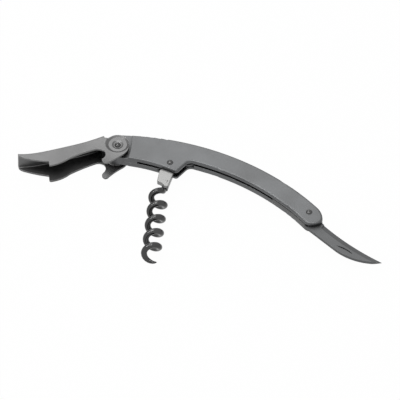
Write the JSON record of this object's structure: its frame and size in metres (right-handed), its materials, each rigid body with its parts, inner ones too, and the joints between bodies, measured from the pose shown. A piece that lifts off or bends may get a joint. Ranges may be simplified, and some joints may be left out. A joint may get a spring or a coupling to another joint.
{
  "type": "waiter's corkscrew",
  "caption": "Folding single-lever corkscrew with a curved hollow handle, spiral worm, pressed bottle-lip lever with crown-cap hook, and a foil knife.",
  "frame": {"origin": "bottom centre of the opened corkscrew's bounding box, as it lies on its far side", "axes": "+X along the handle to the knife end, +Y from the belly to the spine, +Z through the thickness to the near side; every hinge turns about +Z"},
  "size_m": [0.1816, 0.0812, 0.0138],
  "materials": {
    "shell_steel": "fine bead-blasted satin steel",
    "lever_steel": "satin pressed steel sheet",
    "worm_steel": "polished wire, slightly dark",
    "blade_steel": "ground blade steel",
    "spring_steel": "plain spring steel",
    "rivet_steel": "domed rivet heads, lightly polished",
    "washer_steel": "thin steel washers"
  },
  "bodies": {
    "handle": {"near_shell": "shell_steel", "far_shell": "shell_steel", "lever_rivet": "rivet_steel", "worm_rivet": "rivet_steel", "worm_washer_near": "washer_steel", "worm_washer_far": "washer_steel", "knife_rivet": "rivet_steel", "knife_washer_near": "washer_steel", "knife_washer_far": "washer_steel", "back_spring": "spring_steel", "spring_pin_front": "rivet_steel", "spring_pin_rear": "rivet_steel", "shell_pin": "rivet_steel"},
    "lever": {"lever": "lever_steel"},
    "worm": {"worm": "worm_steel"},
    "knife": {"knife_blade": "blade_steel"}
  },
  "joints": [
    {"name": "lever_fold", "type": "hinge", "parent": "handle", "child": "lever", "pos_m": [-0.04091, 0.03319, 0.00692], "axis": [0, 0, 1], "range_deg": [-80, 85]},
    {"name": "worm_fold", "type": "hinge", "parent": "handle", "child": "worm", "pos_m": [-0.01466, 0.02209, 0.00692], "axis": [0, 0, 1], "range_deg": [-5, 70]},
    {"name": "knife_fold", "type": "hinge", "parent": "handle", "child": "knife", "pos_m": [0.05484, -0.01031, 0.00692], "axis": [0, 0, 1], "range_deg": [0, 180]}
  ]
}
